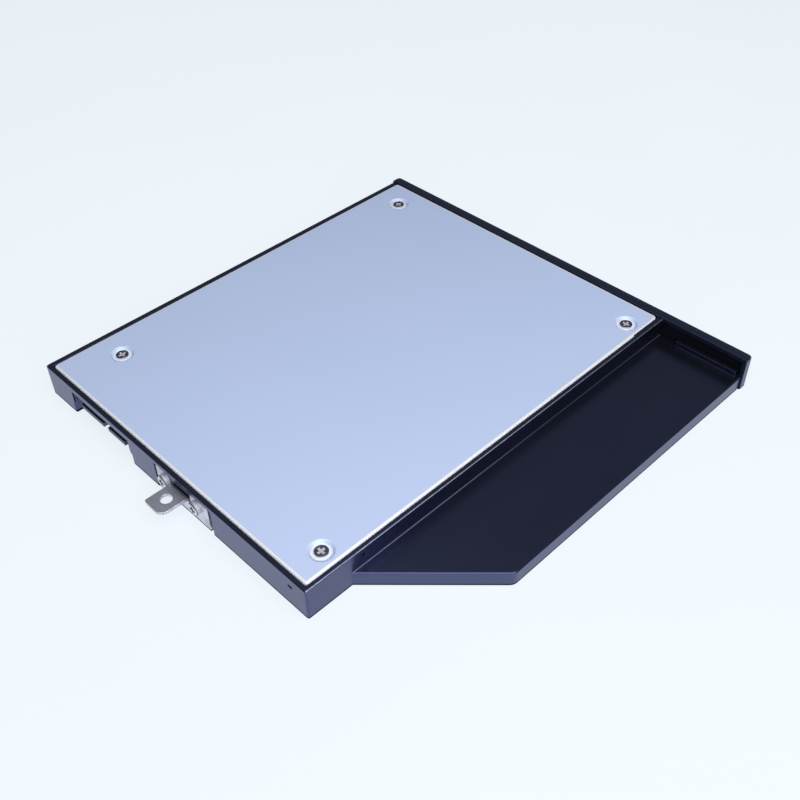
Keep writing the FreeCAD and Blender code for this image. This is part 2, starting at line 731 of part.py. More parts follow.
def add_bracket_seat(body):
    """The thick part of the rear wall, with the bracket's recess and the pocket over the tab.

    Over the tab the recess ends lower than over the legs.
    """
    left, right = bracket_left - s.recess_near, bracket_right + s.recess_far
    middle_left = pocket_left + s.tab_relief
    sketch = new_sketch(body, "block_outline", "XY", zero)
    box(sketch, left - s.block_side, right + s.block_side, rear_y - s.block_depth,
        inner_rear + BITE)
    pad(body, "bracket_block", sketch, ledge_z)
    sketch = new_sketch(body, "recess_outline", "XZ", rear_y)
    polygon(sketch, [
        (left, -PAST), (right, -PAST), (right, s.recess_top), (tab_right, s.recess_top),
        (tab_right, s.pocket_top), (middle_left, s.pocket_top), (middle_left, s.recess_top),
        (left, s.recess_top),
    ])
    pocket(body, "bracket_recess", sketch, s.recess_depth, "-")
    sketch = new_sketch(body, "pocket_outline", "XZ", rear_y)
    box(sketch, middle_left, tab_right, s.pocket_floor, s.pocket_top)
    pocket(body, "tab_pocket", sketch, s.pocket_depth, "-")
    sketch = new_sketch(body, "bracket_holes_outline", "XZ", recess_floor)
    for middle in bracket_screws_at:
        hexagon(sketch, middle, s.insert_width)
    pocket(body, "bracket_holes", sketch, s.insert_length + s.insert_below, "-")


def add_plug_notch(body):
    """The rear wall and the floor are cut away under and round the host plug."""
    sketch = new_sketch(body, "notch_outline", "XZ", rear_y)
    box(sketch, plug_left - s.notch_margin, plug_right + s.notch_margin, -PAST, s.plug_bottom)
    pocket(body, "plug_notch", sketch, s.notch_depth, "-")
    sketch = new_sketch(body, "slot_outline", "XZ", rear_y)
    box(sketch, plug_left - s.slot_play, plug_right + s.slot_play, s.plug_bottom - PAST,
        board_bottom + s.slot_play)
    pocket(body, "plug_slot", sketch, s.rear_wall + PAST, "-")


def add_front_slots(body):
    """Slots in the front wall for the bezel's hooks."""
    sketch = new_sketch(body, "hook_slot_outlines", "XZ", front_y)
    play = s.hook_play
    for x, low, back in hooks_at:
        box(sketch, x - s.hook_width / 2 - play, x + s.hook_width / 2 + play, low - play,
            low + s.hook_thick + s.hook_barb + play)
    pocket(body, "hook_slots", sketch, s.front_wall + s.stop_play, "+")


# Cover plate: sheet with four formed dimples

def make_cover_plate():
    body = new_body("cover_plate")
    sketch = new_sketch(body, "plate_outline", "XY", ledge_z)
    step_y = front_y + s.step_length
    step_x = plate_left + s.step_depth
    polygon(sketch, [
        (plate_right, plate_fore), (plate_right, plate_rear), (plate_left, plate_rear),
        (plate_left, step_y), (step_x, step_y), (step_x, plate_fore),
    ])
    pad(body, "sheet", sketch, s.plate_thick)
    dress(body, "Fillet", "plate_corners", s.plate_corner, lambda e, c: along(e, 2)
          and not near(c.y, step_y))
    dress(body, "Chamfer", "rolled_edge", s.plate_edge, lambda e, c: near(c.z, plate_top))

    mouth, floor = s.dimple_width / 2, s.dimple_floor / 2
    hole = (s.screw_size + s.hole_play) / 2
    for number, middle in enumerate(cover_screws_at, start=1):
        turn(body, "Revolution", "bulge_" + str(number), "Z", middle, [
            (0, ledge_z + BITE), (mouth, ledge_z + BITE), (mouth, ledge_z), (floor, boss_top),
            (0, boss_top),
        ])
    for number, middle in enumerate(cover_screws_at, start=1):
        turn(body, "Groove", "dimple_" + str(number), "Z", middle, [
            (0, plate_top + PAST), (mouth, plate_top + PAST), (mouth, plate_top),
            (floor, dimple_level), (hole, dimple_level), (hole, boss_top - PAST),
            (0, boss_top - PAST),
        ])
    return body


# Fasteners

def make_cover_screws():
    body = new_body("cover_screws", many=True)
    shank, head = s.screw_size / 2, s.head_width / 2
    tip = head_top - s.cover_screw_length
    for number, middle in enumerate(cover_screws_at, start=1):
        turn(body, "Revolution", "screw_" + str(number), "Z", middle, [
            (0, head_top), (head, head_top), (head, dimple_level), (shank, dimple_level),
            (shank, tip), (0, tip),
        ])
    sketch = new_sketch(body, "crosses_outline", "XY", head_top)
    for middle in cover_screws_at:
        cross(sketch, middle, s.head_width)
    pocket(body, "crosses", sketch, s.head_thick * CROSS_DEPTH, "-")
    return body


def make_inserts(name, places, plane, mouth):
    """Threaded sleeves whose mouths lie at the given level of the plane."""
    body = new_body(name, many=True)
    sketch = new_sketch(body, "inserts_outline", plane, mouth)
    for middle in places:
        hexagon(sketch, middle, s.insert_width)
        circle(sketch, middle, s.screw_size + s.screw_play)
    pad(body, "inserts", sketch, s.insert_length, "-")
    return body


def make_bracket_screws():
    body = new_body("bracket_screws", many=True)
    shank, head = s.screw_size / 2, s.bracket_head / 2
    crown = sheet_outer + s.bracket_head_thick
    tip = sheet_outer - s.bracket_screw_length
    for number, middle in enumerate(bracket_screws_at, start=1):
        turn(body, "Revolution", "screw_" + str(number), "Y", middle, [
            (0, crown), (head - s.edge_size, crown), (head, crown - s.edge_size),
            (head, sheet_outer), (shank, sheet_outer), (shank, tip), (0, tip),
        ])
    sketch = new_sketch(body, "crosses_outline", "XZ", crown)
    for middle in bracket_screws_at:
        cross(sketch, middle, s.bracket_head)
    pocket(body, "crosses", sketch, s.bracket_head_thick * CROSS_DEPTH, "-")
    return body


def make_board_screws():
    body = new_body("board_screws", many=True)
    shank, head = s.board_screw / 2, s.board_head / 2
    crown, tip = s.board_top + s.board_head_thick, s.board_top - s.board_screw_length
    for number, middle in enumerate(board_posts_at, start=1):
        turn(body, "Revolution", "screw_" + str(number), "Z", middle, [
            (0, crown), (head, crown), (head, s.board_top), (shank, s.board_top), (shank, tip),
            (0, tip),
        ])
    return body


# Rear bracket: folded sheet

def make_rear_bracket():
    body = new_body("rear_bracket")
    middle_top = s.tab_top - s.bracket_thick - s.bend_radius
    sketch = new_sketch(body, "legs_outline", "XZ", recess_floor)
    polygon(sketch, [
        (bracket_left, s.bracket_bottom), (bracket_right, s.bracket_bottom),
        (bracket_right, s.bracket_top), (tab_right + s.tab_relief, s.bracket_top),
        (tab_right + s.tab_relief, middle_top), (pocket_left, middle_top),
        (pocket_left, s.bracket_top), (bracket_left, s.bracket_top),
    ])
    pad(body, "legs", sketch, s.bracket_thick, "+")
    dress(body, "Fillet", "leg_corners", s.bracket_corner, lambda e, c: along(e, 1)
          and near(c.z, s.bracket_top))

    sketch = new_sketch(body, "tab_profile", "YZ", tab_left)
    tip = rear_y + s.tab_reach
    polygon(sketch, [
        (recess_floor, middle_top - PAST), (sheet_outer, middle_top - PAST),
        (sheet_outer, s.tab_top - s.bracket_thick), (tip, s.tab_top - s.bracket_thick),
        (tip, s.tab_top), (recess_floor, s.tab_top),
    ])
    pad(body, "tab", sketch, s.tab_width, "+")
    dress(body, "Fillet", "bend_inside", s.bend_radius, lambda e, c: along(e, 0)
          and near(c.y, sheet_outer) and near(c.z, s.tab_top - s.bracket_thick))
    dress(body, "Fillet", "bend_outside", s.bend_radius + s.bracket_thick, lambda e, c:
          along(e, 0) and near(c.y, recess_floor) and near(c.z, s.tab_top))
    dress(body, "Fillet", "tab_corner", s.tab_round, lambda e, c: along(e, 2)
          and near(c.y, tip) and near(c.x, tab_left))
    dress(body, "Fillet", "tab_small_corner", s.bracket_corner, lambda e, c: along(e, 2)
          and near(c.y, tip) and near(c.x, tab_right))

    sketch = new_sketch(body, "tab_hole_outline", "XY", s.tab_top)
    circle(sketch, ((tab_left + tab_right) / 2, rear_y + s.tab_hole_reach), s.tab_hole)
    pocket(body, "tab_hole", sketch, s.bracket_thick + PAST, "-")
    sketch = new_sketch(body, "screw_holes_outline", "XZ", sheet_outer)
    for middle in bracket_screws_at:
        circle(sketch, middle, s.screw_size + s.hole_play)
    pocket(body, "screw_holes", sketch, s.bracket_thick + PAST, "-")
    return body


# Front bezel: shell with three snap hooks

def make_front_bezel():
    body = new_body("front_bezel")
    face_y = front_y - s.bezel_depth
    left, right = wing_x - s.bezel_side, side_x + s.bezel_side
    sketch = new_sketch(body, "bezel_outline", "XY", zero)
    box(sketch, left, right, face_y, front_y)
    pad(body, "bezel_block", sketch, s.bezel_height)
    dress(body, "Fillet", "bezel_corners", s.bezel_corner, lambda e, c: along(e, 2)
          and near(c.y, face_y))
    dress(body, "Chamfer", "bezel_edges", s.edge_size, lambda e, c:
          (near(c.z, zero) or near(c.z, s.bezel_height)) and not near(c.y, front_y))
    sketch = new_sketch(body, "bezel_hollow_outline", "XZ", front_y)
    box(sketch, left + s.bezel_skin, right - s.bezel_skin, s.bezel_skin,
        s.bezel_height - s.bezel_skin)
    pocket(body, "bezel_hollow", sketch, s.bezel_depth - s.bezel_skin, "-")

    skin_y = face_y + s.bezel_skin
    for number, (x, low, back) in enumerate(hooks_at, start=1):
        sketch = new_sketch(body, "hook_profile_" + str(number), "YZ", x - s.hook_width / 2)
        barb = back + s.hook_play
        end = barb + s.hook_nose
        top = low + s.hook_thick
        polygon(sketch, [
            (skin_y - BITE, low), (end, low), (end, top), (barb, top + s.hook_barb),
            (barb, top), (skin_y - BITE, top),
        ])
        pad(body, "hook_" + str(number), sketch, s.hook_width, "+")
    return body


# Adapter board and its parts

def make_adapter_board():
    body = new_body("adapter_board")
    sketch = new_sketch(body, "board_outline", "XY", board_bottom)
    polygon(sketch, [
        (board_right, board_back), (board_waist, board_back), (board_waist, board_neck),
        (board_left, board_neck), (board_left, board_front), (board_corner, board_front),
        (board_corner, board_nose), (board_right, board_nose),
    ])
    for middle in board_posts_at:
        circle(sketch, middle, s.board_screw + s.hole_play)
    pad(body, "board", sketch, s.board_thick)
    return body


def plug_tongues():
    """The plug's two tongues, as (left, right, number of contacts)."""
    power_end = plug_left + s.plug_end + s.power_tongue
    return [
        (plug_left + s.plug_end, power_end, PLUG_POWER),
        (power_end + s.plug_key, plug_right - s.plug_end, PLUG_SIGNAL),
    ]


def make_host_plug():
    body = new_body("host_plug")
    root = plug_mouth - s.plug_reach - BITE
    sketch = new_sketch(body, "plug_outline", "XY", s.plug_bottom)
    box(sketch, plug_left, plug_right, plug_back, plug_mouth)
    pad(body, "plug_block", sketch, board_bottom - s.plug_bottom)
    # The mouth is open below, and its roof is lower over the tongues
    low = board_bottom - s.plug_wall
    high = low + s.key_step
    corners = [(plug_left + s.plug_wall, s.plug_bottom - PAST), (plug_left + s.plug_wall, high)]
    for left, right, count in plug_tongues():
        corners += [(left, high), (left, low), (right, low), (right, high)]
    corners += [(plug_right - s.plug_wall, high), (plug_right - s.plug_wall, s.plug_bottom - PAST)]
    sketch = new_sketch(body, "plug_mouth_outline", "XZ", plug_mouth)
    polygon(sketch, corners)
    pocket(body, "plug_mouth", sketch, s.plug_reach, "-")
    sketch = new_sketch(body, "tongues_outline", "XY", s.plug_bottom)
    for left, right, count in plug_tongues():
        box(sketch, left, right, root, plug_mouth - s.tongue_inset)
    pad(body, "tongues", sketch, s.plug_tongue)
    cut_channels(body, plug_pins(), plug_back, plug_low, s.plug_depth - s.plug_reach + BITE,
                 "+")
    return body


def plug_pins():
    """The plug's two rows of contacts, as (place of the first along X, number)."""
    return [
        ((left + right) / 2 - s.pin_pitch * (count - 1) / 2, count)
        for left, right, count in plug_tongues()
    ]


def socket_pins():
    """The socket's two rows, power first and, past the key, signal."""
    power = socket_middle - s.socket_slot / 2 + s.pin_margin
    signal = power + s.pin_pitch * (SOCKET_POWER - 1) + s.key_pitch
    return [(power, SOCKET_POWER), (signal, SOCKET_SIGNAL)]


def cut_channels(body, rows, face, low, depth, towards):
    """The channels in a housing through which its contacts leave."""
    play = s.pin_play
    for number, (x, count) in enumerate(rows, start=1):
        name = "channel_" + str(number)
        sketch = new_sketch(body, name + "_outline", "XZ", face)
        box(sketch, x - s.pin_width / 2 - play, x + s.pin_width / 2 + play, low,
            low + s.pin_thick + play)
        channel = pocket(body, name, sketch, depth, towards)
        repeat(body, name + "_row", channel, "X", s.pin_pitch, count)


def make_contacts(name, rows, tip, bend, low):
    """Blades on the tongues, bent up behind the housing onto the board."""
    body = new_body(name, many=True)
    inside = bend + s.pin_thick if bend.value < tip.value else bend - s.pin_thick
    for number, (x, count) in enumerate(rows, start=1):
        part = "contact_" + str(number)
        sketch = new_sketch(body, part + "_profile", "YZ", x - s.pin_width / 2)
        polygon(sketch, [
            (tip, low), (bend, low), (bend, board_bottom), (inside, board_bottom),
            (inside, low + s.pin_thick), (tip, low + s.pin_thick),
        ])
        contact = pad(body, part, sketch, s.pin_width, "+")
        repeat(body, part + "_row", contact, "X", s.pin_pitch, count)
    return body


def make_drive_socket():
    body = new_body("drive_socket")
    bottom = board_bottom - s.socket_height
    sketch = new_sketch(body, "socket_outline", "XY", bottom)
    box(sketch, socket_left, socket_right, socket_face, socket_back)
    pad(body, "socket_block", sketch, s.socket_height)
    dress(body, "Chamfer", "lead_in", s.edge_size, lambda e, c: near(c.y, socket_face)
          and near(c.z, bottom))
    key = socket_pins()[1][0] - s.key_place
    key_left, key_right = key - s.key_wall / 2, key + s.key_wall / 2
    slot_left, slot_right = socket_middle - s.socket_slot / 2, socket_middle + s.socket_slot / 2
    slot_top = socket_low + s.slot_height
    guide_top = slot_top + s.guide_tall
    sketch = new_sketch(body, "socket_slots_outline", "XZ", socket_face)
    polygon(sketch, [
        (slot_left, socket_low), (key_left, socket_low), (key_left, slot_top),
        (slot_left + s.guide_wide, slot_top), (slot_left + s.guide_wide, guide_top),
        (slot_left, guide_top),
    ])
    polygon(sketch, [
        (key_right, socket_low), (slot_right, socket_low), (slot_right, guide_top),
        (slot_right - s.guide_wide, guide_top), (slot_right - s.guide_wide, slot_top),
        (key_right, slot_top),
    ])
    pocket(body, "socket_slots", sketch, s.slot_depth, "+")
    cut_channels(body, socket_pins(), socket_back, socket_low,
                 s.socket_depth - s.slot_depth + BITE, "-")
    return body


def make_clips(name, left, right, far_y):
    """Two solder hold-downs at the ends of a connector, folded onto the board."""
    body = new_body(name, many=True)
    near_y = far_y - s.clip_width
    sketch = new_sketch(body, "clip_uprights_outline", "XY", board_bottom - s.clip_tall)
    box(sketch, left - s.clip_thick, left, near_y, far_y)
    box(sketch, right, right + s.clip_thick, near_y, far_y)
    pad(body, "clip_uprights", sketch, s.clip_tall)
    sketch = new_sketch(body, "clip_feet_outline", "XY", board_bottom - s.clip_thick)
    box(sketch, left - s.clip_foot, left - s.clip_thick / 2, near_y, far_y)
    box(sketch, right + s.clip_thick / 2, right + s.clip_foot, near_y, far_y)
    pad(body, "clip_feet", sketch, s.clip_thick)
    return body


def make_small_parts(name, first, size, count):
    """A row of parts under the board, in the free lane between its two connectors."""
    body = new_body(name, many=True)
    long, wide, tall = size
    sketch = new_sketch(body, "parts_outline", "XY", board_bottom)
    for i in range(count):
        left = first + (long + s.row_gap) * i
        box(sketch, left, left + long, board_lane - wide / 2, board_lane + wide / 2)
    pad(body, "parts", sketch, tall, "-")
    return body


# Stop and pads for the drive

def make_drive_stop():
    body = new_body("drive_stop")
    low, play = s.floor_thick, s.stop_play
    near_y = inner_front + play
    middle_y = (near_y + stop_rear) / 2
    sketch = new_sketch(body, "stop_outline", "XY", low)
    box(sketch, bay_left + play, bay_right - play, near_y, stop_rear)
    pad(body, "stop_bar", sketch, s.stop_height)
    sketch = new_sketch(body, "lugs_outline", "XY", low)
    lug_low, lug_high = middle_y - s.lug_depth / 2, middle_y + s.lug_depth / 2
    box(sketch, bay_left - s.stop_lug, bay_left + play + BITE, lug_low, lug_high)
    box(sketch, bay_right - play - BITE, bay_right + s.stop_lug, lug_low, lug_high)
    pad(body, "lugs", sketch, s.stop_height)
    sketch = new_sketch(body, "hook_notch_outline", "XY", low + s.stop_height)
    room = s.hook_width / 2 + s.stop_notch
    box(sketch, bay_middle - room, bay_middle + room, near_y - PAST,
        inner_front + s.hook_play + s.hook_nose + s.stop_notch)
    pocket(body, "hook_notch", sketch, s.stop_height, "-")
    sketch = new_sketch(body, "lightening_outline", "XY", low + s.stop_height)
    quarter = s.drive_width / 4
    for middle in (bay_middle - quarter, bay_middle + quarter):
        box(sketch, middle - s.stop_pocket / 2, middle + s.stop_pocket / 2,
            near_y + s.stop_wall, stop_rear - s.stop_wall)
    pocket(body, "lightening", sketch, s.stop_height - s.stop_wall, "-")
    return body


def make_drive_pads():
    body = new_body("drive_pads", many=True)
    sketch = new_sketch(body, "pads_outline", "XY", s.floor_thick)
    low, high = stop_rear + s.pad_front, drive_rear - s.pad_rear
    left, right = bay_left + s.pad_side, bay_right - s.pad_side
    box(sketch, left, left + s.pad_width, low, high)
    box(sketch, right - s.pad_width, right, low, high)
    pad(body, "pads", sketch, s.pad_thick)
    return body


bulk_end = board_left + s.row_start + (s.bulk_long + s.row_gap) * BULK_CAPACITORS
chip_end = bulk_end + (s.chip_long + s.row_gap) * SMALL_CAPACITORS

nodes = [
    make_frame(),
    make_cover_plate(),
    make_front_bezel(),
    make_rear_bracket(),
    make_cover_screws(),
    make_inserts("cover_inserts", cover_screws_at, "XY", boss_top),
    make_bracket_screws(),
    make_inserts("bracket_inserts", bracket_screws_at, "XZ", recess_floor),
    make_board_screws(),
    make_adapter_board(),
    make_host_plug(),
    make_contacts("host_plug_contacts", plug_pins(), plug_mouth - s.pin_inset,
                  plug_back - s.pin_bend, plug_low),
    make_clips("host_plug_clips", plug_left, plug_right, plug_back + s.clip_back + s.clip_width),
    make_drive_socket(),
    make_contacts("drive_socket_contacts", socket_pins(), socket_face + s.pin_inset,
                  socket_back + s.pin_bend, socket_low),
    make_clips("drive_socket_clips", socket_left, socket_right, socket_back - s.clip_back),
    make_small_parts("bulk_capacitors", board_left + s.row_start,
                     (s.bulk_long, s.bulk_wide, s.bulk_tall), BULK_CAPACITORS),
    make_small_parts("small_capacitors", bulk_end,
                     (s.chip_long, s.chip_wide, s.chip_wide), SMALL_CAPACITORS),
    make_small_parts("small_resistors", chip_end,
                     (s.resistor_long, s.resistor_wide, s.resistor_tall), SMALL_RESISTORS),
    make_drive_stop(),
    make_drive_pads(),
]

for node in nodes:
    shape = node.Shape
    print(node.Label, len(shape.Solids), round(shape.Volume, 2), shape.isValid(), node.State)

for item in doc.Objects:
    if "Invalid" in item.State or "Error" in item.State:
        raise RuntimeError(item.Name + " is " + str(item.State))
for node in nodes:
    if node.Shape.isNull() or not node.Shape.isValid():
        raise RuntimeError(node.Label + " has no valid shape")

os.makedirs("parts", exist_ok=True)
for node in nodes:
    node.Shape.exportStep("parts/" + node.Label + ".step")
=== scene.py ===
"""Looks of the laptop drive caddy: a finish for every node, the solder under the board, the pale
floor, the soft light and the camera. Lengths are in millimetres unless a comment says otherwise."""

import math

import bmesh
import bpy
from mathutils import Matrix, Vector


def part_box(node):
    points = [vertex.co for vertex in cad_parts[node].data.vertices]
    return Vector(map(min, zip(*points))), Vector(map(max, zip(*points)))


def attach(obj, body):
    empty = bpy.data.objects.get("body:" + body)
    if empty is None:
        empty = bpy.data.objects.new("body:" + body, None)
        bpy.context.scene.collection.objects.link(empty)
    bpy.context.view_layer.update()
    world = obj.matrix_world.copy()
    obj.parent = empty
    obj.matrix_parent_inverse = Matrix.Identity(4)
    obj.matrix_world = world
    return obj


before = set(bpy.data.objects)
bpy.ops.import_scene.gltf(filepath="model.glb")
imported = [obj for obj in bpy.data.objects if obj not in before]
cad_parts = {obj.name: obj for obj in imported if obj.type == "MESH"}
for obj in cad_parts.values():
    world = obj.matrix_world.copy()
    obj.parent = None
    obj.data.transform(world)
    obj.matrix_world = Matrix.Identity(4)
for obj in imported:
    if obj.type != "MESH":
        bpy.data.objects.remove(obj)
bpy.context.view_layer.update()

MM = 0.001
PER_METRE = 1000
EDGE_SAMPLES = 6


# Tools for finishes

class Wire:
    """What a shader node gives. Plain arithmetic on it adds Math nodes."""

    def __init__(self, finish, socket):
        self.finish, self.socket = finish, socket

    def math(self, operation, *values):
        return self.finish.node("ShaderNodeMath", {"operation": operation}, dict(enumerate(values)))

    def __add__(self, other):
        return self.math("ADD", self, other)

    def __radd__(self, other):
        return self.math("ADD", other, self)

    def __sub__(self, other):
        return self.math("SUBTRACT", self, other)

    def __rsub__(self, other):
        return self.math("SUBTRACT", other, self)

    def __mul__(self, other):
        return self.math("MULTIPLY", self, other)

    def __rmul__(self, other):
        return self.math("MULTIPLY", other, self)

    def __truediv__(self, other):
        return self.math("DIVIDE", self, other)

    def __abs__(self):
        return self.math("ABSOLUTE", self)

    def sine(self):
        return self.math("SINE", self)

    def least(self, other):
        return self.math("MINIMUM", self, other)

    def most(self, other):
        return self.math("MAXIMUM", self, other)


class Finish:
    """One material, with its nodes added by plain calls."""

    def __init__(self, name):
        self.material = bpy.data.materials.new(name)
        self.material.use_nodes = True
        self.nodes = self.material.node_tree.nodes
        self.links = self.material.node_tree.links
        self.nodes.clear()
        self.place = self.node("ShaderNodeTexCoord", output="Object")
        self.place = self.vector("SCALE", self.place, Scale=PER_METRE)
        self.facing = self.node("ShaderNodeNewGeometry", output="Normal")

    def node(self, kind, settings=None, inputs=None, output=0):
        """Adds a node, sets it up, feeds its sockets and returns one of its outputs."""
        made = self.nodes.new(kind)
        for name, setting in (settings or {}).items():
            setattr(made, name, setting)
        for name, value in (inputs or {}).items():
            if isinstance(value, Wire):
                self.links.new(value.socket, made.inputs[name])
            else:
                made.inputs[name].default_value = value
        return Wire(self, made.outputs[output])

    def vector(self, operation, *vectors, output="Vector", **inputs):
        inputs = {**dict(enumerate(vectors)), **inputs}
        return self.node("ShaderNodeVectorMath", {"operation": operation}, inputs, output)

    def axis(self, name, vector=None):
        """One coordinate, X, Y or Z, of the place on the part or of another vector."""
        return self.node("ShaderNodeSeparateXYZ", None, {0: vector or self.place}, name)

    def noise(self, size, detail, stretch=(1, 1, 1)):
        """Cloudy noise from 0 to 1. Its lumps are about that size, times stretch on each axis."""
        scale = tuple(1 / (size * factor) for factor in stretch)
        where = self.vector("MULTIPLY", self.place, scale)
        return self.node("ShaderNodeTexNoise", None,
                         {"Vector": where, "Scale": 1.0, "Detail": detail})

    def cells(self, size):
        """The distance to the nearest of many scattered points, as a share of that size."""
        return self.node("ShaderNodeTexVoronoi", None,
                         {"Vector": self.place, "Scale": 1 / size}, "Distance")

    def ramp(self, value, start, end):
        """0 up to start and 1 from end on, smooth between. The end may be the lower number."""
        return self.node("ShaderNodeMapRange", {"interpolation_type": "SMOOTHSTEP"},
                         {"Value": value, "From Min": start, "From Max": end})

    def band(self, value, middle, outer, inner):
        """1 within inner of the middle, 0 beyond outer."""
        return self.ramp(abs(value - middle), outer, inner)

    def blend(self, mask, first, second):
        """The first colour where the mask is 0, the second where it is 1."""
        sockets = {0: mask, 6: self.colour(first), 7: self.colour(second)}
        return self.node("ShaderNodeMix", {"data_type": "RGBA"}, sockets, 2)

    @staticmethod
    def colour(value):
        return value if isinstance(value, Wire) else (*value, 1.0)

    def rounded(self, radius):
        """The surface direction as if every edge had that radius."""
        return self.node("ShaderNodeBevel", {"samples": EDGE_SAMPLES}, {"Radius": radius * MM})

    def edge(self, rounded):
        """0 on flat stretches, up to 1 on an edge."""
        flat = self.vector("DOT_PRODUCT", rounded, self.facing, output="Value")
        return self.ramp(1 - flat, 0.01, 0.2)

    def slope(self, distance, width):
        """1 at an edge, falling evenly to 0 at that width from it."""
        return (1 - distance / width).least(1.0).most(0.0)

    def roll_off(self, distance, width):
        """1 at an edge, falling like a rounding to 0 at that width from it."""
        near = self.slope(distance, width)
        return near * near

    def bump(self, height, depth, normal=None):
        """The surface direction with a height from 0 to 1 raised to that depth."""
        inputs = {"Height": height, "Distance": depth * MM, "Strength": 1.0}
        if normal:
            inputs["Normal"] = normal
        return self.node("ShaderNodeBump", None, inputs)

    def surface(self, colour, shade_mask=None, **sockets):
        """Ends the material with its shader. The names are the shader's own, with _ for a space.
        Where matt is 1 the surface is painted shade instead, a near-black diffuse."""
        inputs = {name.replace("_", " "): value for name, value in sockets.items()}
        shader = self.node("ShaderNodeBsdfPrincipled", None,
                           {"Base Color": self.colour(colour), **inputs}, "BSDF")
        if shade_mask:
            painted_shade = self.node("ShaderNodeBsdfDiffuse", None, {"Color": (*PAINTED_SHADE_TONE, 1.0)}, "BSDF")
            shader = self.node("ShaderNodeMixShader", None, {0: shade_mask, 1: shader, 2: painted_shade})
        self.node_out(shader)
        return self.material

    def node_out(self, shader):
        made = self.nodes.new("ShaderNodeOutputMaterial")
        self.links.new(shader.socket, made.inputs["Surface"])


def times(colour, factor):
    """A darker or lighter shade of a colour."""
    return tuple(factor * part for part in colour)


# Places and tones

# The wall beside the wing, the wing's top and its rear end, and the flat of the cover's dimples
WALL_X, WING_TOP, WING_REAR = -39.0, 4.3, 48.3
DIMPLE_LEVEL = 8.95
# Levels over which a mask goes from 0 to 1: the leaning rim, the painted highlight line on it, the
# painted shade line at the table, and all that is under the rim, where slanted edges get painted
# shade
RIM_FADE, RIM_LINE, TABLE_LINE, UNDER_RIM = (8.9, 9.2), (9.25, 9.35), (0.85, 0.55), (8.0, 7.5)
# Middles of the screws, measured across their axis
COVER_SCREWS = [(53.4, -56.8), (-33.1, -56.8), (-33.1, 51.3), (53.4, 44.5)]
BRACKET_SCREWS = [(12.1, 4.9), (-0.1, 4.9)]
BOARD_SCREWS = [(58.2, 50.3), (43.42, 50.3), (3.82, 50.3)]

# The upward share of the surface direction over which a mask goes from 0 to 1
UPRIGHT, LEVEL = (0.9, 0.5), (0.6, 0.8)
SLANTED_FROM, SLANTED_TO = (0.5, 0.6), (0.9, 0.8)
# The leaning edge's fall for its width, and the cover's rolled edge
LEAN = 0.36
ROLLED_WIDTH, ROLLED_DROP = 0.95, 0.2
# Turned rings, threads, and the radius of an insert's bore
RING_PITCH, THREAD_PITCH, BORE = 0.16, 0.4, (1.3, 1.15)
# Waves, in radians for each millimetre, except for how far the tracks wander
KNURL_AROUND, KNURL_ALONG = 9, 6
TRACK_LANES, TRACK_WANDER, WEAVE, PLIES = 2.6, 2.2, 9, 28

# The last of these tones is the near-black of painted shade.
BLACK, RUBBED, PAINTED_SHADE_TONE = (0.005, 0.0055, 0.0065), (0.04, 0.045, 0.06), (0.01, 0.012, 0.02)
PLASTIC_IOR, PLASTIC_TINT = 2.42, (0.42, 0.48, 1.0, 1.0)


# Finishes

